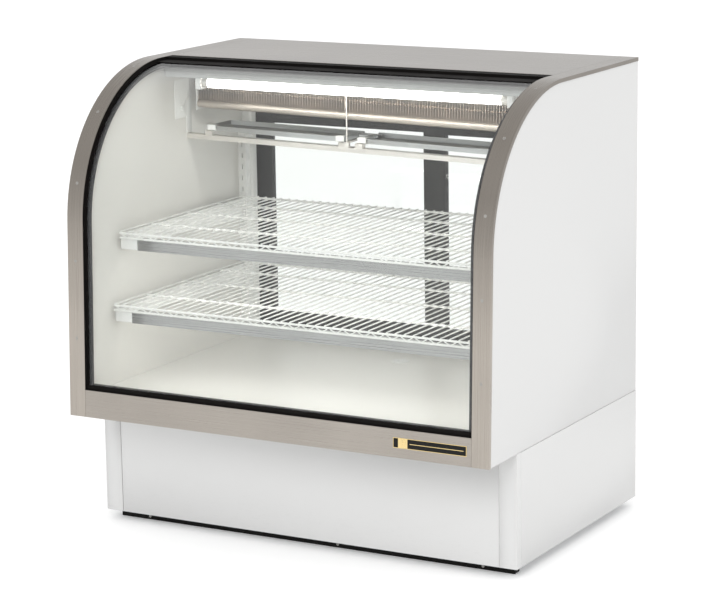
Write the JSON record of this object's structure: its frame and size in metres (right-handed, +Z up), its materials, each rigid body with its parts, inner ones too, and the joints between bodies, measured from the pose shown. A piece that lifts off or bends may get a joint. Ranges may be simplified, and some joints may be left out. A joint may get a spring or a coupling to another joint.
{
  "type": "refrigerated deli case",
  "caption": "Refrigerated food display case with curved front glass, wire shelves, a gravity coil, rear sliding doors and a condensing unit in its base.",
  "frame": {"origin": "on the floor, midway across and midway between the front of the display and the rear face", "axes": "+X to the right as the customer sees it, +Y to the rear doors, +Z up"},
  "size_m": [1.226, 0.895, 1.222],
  "materials": {
    "white_enamel": "gloss white enamel",
    "white_liner": "gloss white liner",
    "stainless": "brushed, warm grey",
    "stainless_top": "brushed",
    "screw_steel": "bright",
    "foam": "closed cell, unseen",
    "badge_black": "gloss black",
    "seal_black": "satin black",
    "spacer_black": "matt black",
    "clear_glass": "clear",
    "black_frame": "satin black",
    "galvanised": "zinc",
    "black_plastic": "matt black",
    "black_gloss": "gloss black",
    "door_sash_finish": "dark anodised",
    "nylon": "white nylon",
    "shelf_white": "white coated wire",
    "lamp_grey": "satin",
    "lamp_white": "gloss white",
    "lamp_glow": "lit phosphor tube",
    "coil_fins": "dull aluminium",
    "copper": "copper",
    "bright_aluminium": "bright rolled",
    "pan_metal": "satin",
    "drain_white": "white pipe",
    "compressor_black": "satin black shell",
    "condenser_grey": "dull fins",
    "motor_grey": "grey paint",
    "fan_metal": "pressed blades"
  },
  "bodies": {
    "case": {"end_panels": "white_enamel", "foam_insulation": "foam", "interior_liners": "white_liner", "end_trims": "stainless", "panel_screws": "screw_steel", "top_panel": "stainless_top", "front_rail": "stainless", "badge_plate": "badge_black", "glass_gasket": "seal_black", "glass_spacer": "spacer_black", "glass_outer_pane": "clear_glass", "glass_inner_pane": "clear_glass", "deck_pan": "white_liner", "underside_panel": "white_enamel", "rear_sill": "stainless", "base_front_panel": "white_enamel", "base_posts": "white_enamel", "base_sides": "white_enamel", "base_pan": "galvanised", "base_frame": "black_frame", "floor_glides": "black_plastic", "rear_grille": "white_enamel", "control_panel": "white_enamel", "electrical_fittings": "black_plastic", "door_frame": "door_sash_finish", "shelf_posts": "shelf_white", "shelf_brackets": "shelf_white", "shelf_lamp_channels": "lamp_grey", "lamp_holders": "lamp_white", "lamp_tubes": "lamp_glow", "top_lamp_hood": "lamp_grey", "coil_brackets": "white_liner", "evaporator_fins": "coil_fins", "evaporator_tubes": "copper", "coil_band": "bright_aluminium", "pan_frame": "bright_aluminium", "drain_pipe": "drain_white", "unit_tray": "galvanised", "condensate_pan": "galvanised", "compressor": "compressor_black", "condenser_coil": "condenser_grey", "fan_shroud": "black_plastic", "fan_motor": "motor_grey", "refrigerant_lines": "copper"},
    "left_door": {"left_door_sash": "door_sash_finish", "left_door_glass": "clear_glass", "left_door_pull": "black_plastic"},
    "left_door_roller_1": {"left_door_roller_1": "nylon"},
    "left_door_roller_2": {"left_door_roller_2": "nylon"},
    "right_door": {"right_door_sash": "door_sash_finish", "right_door_glass": "clear_glass", "right_door_pull": "black_plastic"},
    "right_door_roller_1": {"right_door_roller_1": "nylon"},
    "right_door_roller_2": {"right_door_roller_2": "nylon"},
    "upper_shelf": {"upper_shelf": "shelf_white"},
    "lower_shelf": {"lower_shelf": "shelf_white"},
    "drip_pans": {"drip_pans": "pan_metal"},
    "thermostat_knob": {"thermostat_knob": "black_plastic"},
    "light_switch": {"light_switch": "black_gloss"},
    "condenser_fan": {"condenser_fan": "fan_metal"}
  },
  "joints": [
    {"name": "left_door_slide", "type": "slide", "parent": "case", "child": "left_door", "axis": [1, 0, 0], "range_m": [0, 0.5]},
    {"name": "left_door_roller_1_spin", "type": "hinge", "parent": "left_door", "child": "left_door_roller_1", "pos_m": [-0.462, 0.433, 0.41], "axis": [0, 1, 0], "continuous": true},
    {"name": "left_door_roller_2_spin", "type": "hinge", "parent": "left_door", "child": "left_door_roller_2", "pos_m": [-0.054, 0.433, 0.41], "axis": [0, 1, 0], "continuous": true},
    {"name": "right_door_slide", "type": "slide", "parent": "case", "child": "right_door", "axis": [1, 0, 0], "range_m": [-0.5, 0]},
    {"name": "right_door_roller_1_spin", "type": "hinge", "parent": "right_door", "child": "right_door_roller_1", "pos_m": [0.104, 0.409, 0.41], "axis": [0, 1, 0], "continuous": true},
    {"name": "right_door_roller_2_spin", "type": "hinge", "parent": "right_door", "child": "right_door_roller_2", "pos_m": [0.462, 0.409, 0.41], "axis": [0, 1, 0], "continuous": true},
    {"name": "upper_shelf_lift", "type": "slide", "parent": "case", "child": "upper_shelf", "axis": [0, 0, 1], "range_m": [0, 0.04]},
    {"name": "lower_shelf_lift", "type": "slide", "parent": "case", "child": "lower_shelf", "axis": [0, 0, 1], "range_m": [0, 0.04]},
    {"name": "drip_pans_lift", "type": "slide", "parent": "case", "child": "drip_pans", "axis": [0, 0, 1], "range_m": [0, 0.03]},
    {"name": "thermostat_turn", "type": "hinge", "parent": "case", "child": "thermostat_knob", "pos_m": [0.455, 0.44, 0.23], "axis": [0, 1, 0], "range_deg": [-150, 150]},
    {"name": "light_switch_rock", "type": "hinge", "parent": "case", "child": "light_switch", "pos_m": [0.525, 0.4305, 0.23], "axis": [1, 0, 0], "range_deg": [-16, 0]},
    {"name": "condenser_fan_spin", "type": "hinge", "parent": "case", "child": "condenser_fan", "pos_m": [0.205, 0.262, 0.17], "axis": [0, 1, 0], "continuous": true}
  ],
  "couplings": [
    {"joint": "left_door_roller_1_spin", "follows": "left_door_slide", "rad_per_m": 111.73},
    {"joint": "left_door_roller_2_spin", "follows": "left_door_slide", "rad_per_m": 111.73},
    {"joint": "right_door_roller_1_spin", "follows": "right_door_slide", "rad_per_m": 111.73},
    {"joint": "right_door_roller_2_spin", "follows": "right_door_slide", "rad_per_m": 111.73}
  ]
}
